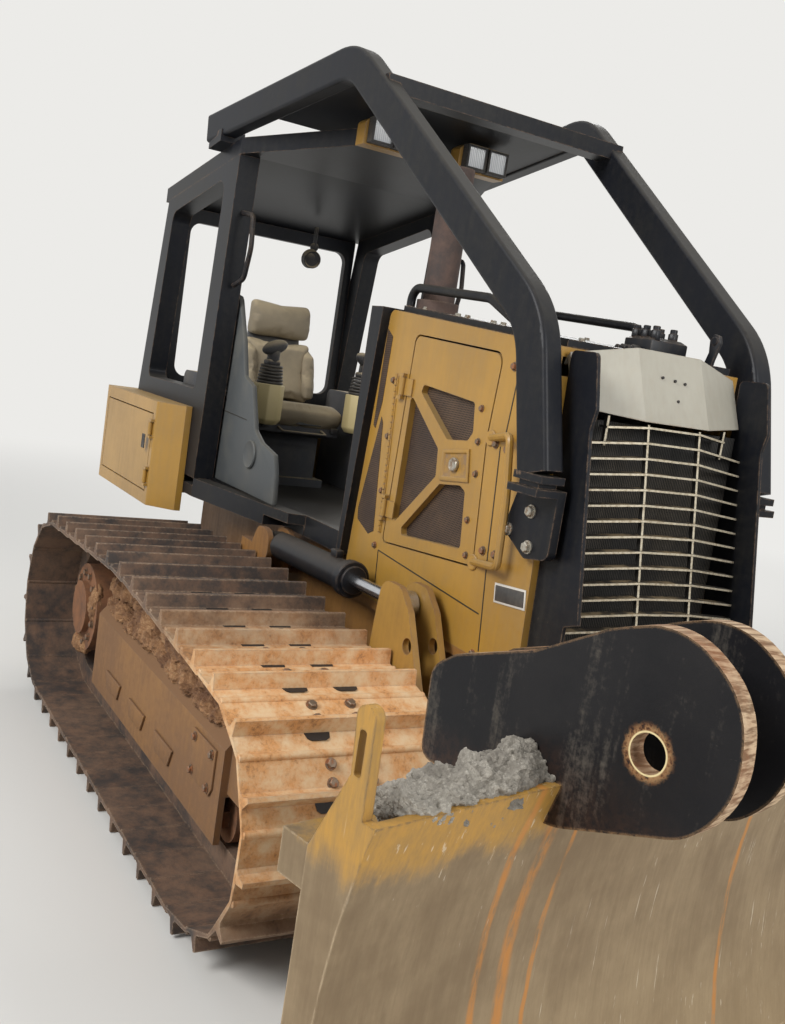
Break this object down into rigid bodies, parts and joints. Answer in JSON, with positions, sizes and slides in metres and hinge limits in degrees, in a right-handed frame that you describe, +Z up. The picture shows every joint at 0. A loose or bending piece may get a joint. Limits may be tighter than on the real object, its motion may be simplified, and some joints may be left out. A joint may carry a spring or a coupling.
{
  "type": "crawler bulldozer",
  "caption": "Open-canopy crawler bulldozer with wide tracks, forestry sweeps over the roof, a creased bar grille and an angling, tilting blade with pin ears on its back.",
  "frame": {"origin": "on the ground under the middle of the whole machine, blade included", "axes": "+X forward, +Y to the machine's left, +Z up"},
  "size_m": [4.8191, 3.1852, 2.8606],
  "materials": {
    "yellow_paint": "work-worn gloss paint with dust",
    "yellow_dusty": "gloss paint under mud and rust",
    "black_paint": "semi-gloss paint with dust",
    "track_steel": "rusted and polished by wear",
    "wheel_steel": "caked with mud",
    "blade_steel": "scoured, with paint left at the top",
    "edge_steel": "scoured bare",
    "ear_steel": "flame-cut plate, painted",
    "cylinder_black": "semi-gloss paint",
    "rod_chrome": "polished",
    "grille_steel": "painted, worn bright at the edges",
    "core_grey": "finned",
    "mesh_dark": "punched and dusty",
    "engine_grey": "painted casting",
    "seat_vinyl": "grained vinyl",
    "cab_plastic": "grained",
    "lever_plastic": "moulded",
    "lamp_lens": "clear lens",
    "exhaust_steel": "rusted by heat"
  },
  "bodies": {
    "machine": {"main_frame": "yellow_dusty", "drawbar": "black_paint", "hood_shell": "yellow_paint", "hood_top": "black_paint", "engine_block": "engine_grey", "radiator_guard": "black_paint", "radiator_core": "core_grey", "grille": "grille_steel", "nose_cap": "black_paint", "exhaust_stack": "exhaust_steel", "hand_rails": "black_paint", "cab_floor": "black_paint", "cab_cowl": "black_paint", "cab_sides": "black_paint", "cab_rear_frame": "black_paint", "canopy_roof": "black_paint", "lamp_pods": "yellow_paint", "work_lamps": "lamp_lens", "seat_base": "cab_plastic", "seat_cushion": "seat_vinyl", "seat_back": "seat_vinyl", "side_consoles": "cab_plastic", "control_levers": "lever_plastic", "rear_tank": "yellow_paint", "sweeps": "black_paint", "sweep_feet": "black_paint", "sweep_crossbar": "black_paint", "sweep_roof_plate": "black_paint", "sweep_brackets": "black_paint", "track_right": "track_steel", "track_left": "track_steel", "track_frames": "yellow_dusty", "sprockets": "wheel_steel", "idlers": "wheel_steel", "track_rollers": "wheel_steel"},
    "push_frame": {"push_frame": "yellow_dusty"},
    "swing": {"swing_frame": "black_paint"},
    "blade": {"blade": "blade_steel", "cutting_edge": "edge_steel", "blade_ears": "ear_steel"},
    "engine_door_right": {"engine_door_right": "yellow_paint", "door_mesh_right": "mesh_dark"},
    "engine_door_left": {"engine_door_left": "yellow_paint", "door_mesh_left": "mesh_dark"},
    "service_door": {"service_door": "yellow_paint"},
    "lift_right_barrel": {"lift_right_barrel": "cylinder_black"},
    "lift_right_rod": {"lift_right_rod": "rod_chrome"},
    "lift_left_barrel": {"lift_left_barrel": "cylinder_black"},
    "lift_left_rod": {"lift_left_rod": "rod_chrome"},
    "angle_right_barrel": {"angle_right_barrel": "cylinder_black"},
    "angle_right_rod": {"angle_right_rod": "rod_chrome"},
    "angle_left_barrel": {"angle_left_barrel": "cylinder_black"},
    "angle_left_rod": {"angle_left_rod": "rod_chrome"},
    "tilt_barrel": {"tilt_barrel": "cylinder_black"},
    "tilt_rod": {"tilt_rod": "rod_chrome"}
  },
  "joints": [
    {"name": "lift", "type": "hinge", "parent": "machine", "child": "push_frame", "pos_m": [-0.2715, -0.0675, 0.45], "axis": [0, 1, 0], "range_deg": [-16, 12]},
    {"name": "lift_right_swing", "type": "hinge", "parent": "machine", "child": "lift_right_barrel", "pos_m": [-0.5215, -0.5425, 0.942], "axis": [0, 1, 0], "range_deg": [-13.73, 10.54]},
    {"name": "lift_right_stroke", "type": "slide", "parent": "lift_right_barrel", "child": "lift_right_rod", "axis": [0.9997, 0, 0.0262], "range_m": [-0.1463, 0.1109]},
    {"name": "lift_left_swing", "type": "hinge", "parent": "machine", "child": "lift_left_barrel", "pos_m": [-0.5215, 0.4075, 0.942], "axis": [0, 1, 0], "range_deg": [-13.73, 10.54]},
    {"name": "lift_left_stroke", "type": "slide", "parent": "lift_left_barrel", "child": "lift_left_rod", "axis": [0.9997, 0, 0.0262], "range_m": [-0.1463, 0.1109]},
    {"name": "angle", "type": "hinge", "parent": "push_frame", "child": "swing", "pos_m": [1.4785, -0.0675, 0.42], "axis": [0, 0, 1], "range_deg": [-37, 13]},
    {"name": "angle_right_swing", "type": "hinge", "parent": "push_frame", "child": "angle_right_barrel", "pos_m": [0.9385, -0.5595, 0.6], "axis": [0, 0, 1], "range_deg": [-2.91, 1.67]},
    {"name": "angle_right_stroke", "type": "slide", "parent": "angle_right_barrel", "child": "angle_right_rod", "axis": [0.9695, 0.245, 0], "range_m": [-0.2353, 0.0859]},
    {"name": "angle_left_swing", "type": "hinge", "parent": "push_frame", "child": "angle_left_barrel", "pos_m": [0.9385, 0.4245, 0.6], "axis": [0, 0, 1], "range_deg": [-3.75, 1.97]},
    {"name": "angle_left_stroke", "type": "slide", "parent": "angle_left_barrel", "child": "angle_left_rod", "axis": [0.9762, -0.2167, 0], "range_m": [-0.0855, 0.2342]},
    {"name": "tilt", "type": "hinge", "parent": "swing", "child": "blade", "pos_m": [1.4785, -0.0675, 0.42], "axis": [0.9781, 0.2079, 0], "range_deg": [-7.5, 7.5]},
    {"name": "tilt_swing", "type": "hinge", "parent": "swing", "child": "tilt_barrel", "pos_m": [1.72318, -0.35286, 0.88], "axis": [0.9781, 0.2079, 0], "range_deg": [-4.75, 4.75]},
    {"name": "tilt_stroke", "type": "slide", "parent": "tilt_barrel", "child": "tilt_rod", "axis": [-0.2079, 0.9781, 0], "range_m": [-0.0652, 0.0652]},
    {"name": "engine_door_right", "type": "hinge", "parent": "machine", "child": "engine_door_right", "pos_m": [0.1685, -0.4525, 1.4], "axis": [0, 0, -1], "range_deg": [0, 100]},
    {"name": "engine_door_left", "type": "hinge", "parent": "machine", "child": "engine_door_left", "pos_m": [0.1685, 0.3175, 1.4], "axis": [0, 0, 1], "range_deg": [0, 100]},
    {"name": "service_door", "type": "hinge", "parent": "machine", "child": "service_door", "pos_m": [-1.4975, -0.8275, 1.15], "axis": [0, 0, 1], "range_deg": [0, 100]}
  ],
  "couplings": [
    {"joint": "lift_right_swing", "follows": "lift", "ratio": 0.7953},
    {"joint": "lift_right_stroke", "follows": "lift", "m_per_rad": 0.5058},
    {"joint": "lift_left_swing", "follows": "lift", "ratio": 0.7953},
    {"joint": "lift_left_stroke", "follows": "lift", "m_per_rad": 0.5058},
    {"joint": "angle_right_swing", "follows": "angle", "ratio": 0.0515},
    {"joint": "angle_right_stroke", "follows": "angle", "m_per_rad": 0.3567},
    {"joint": "angle_left_swing", "follows": "angle", "ratio": 0.0743},
    {"joint": "angle_left_stroke", "follows": "angle", "m_per_rad": -0.3549},
    {"joint": "tilt_swing", "follows": "tilt", "ratio": 0.5},
    {"joint": "tilt_stroke", "follows": "tilt", "m_per_rad": -0.4598}
  ]
}
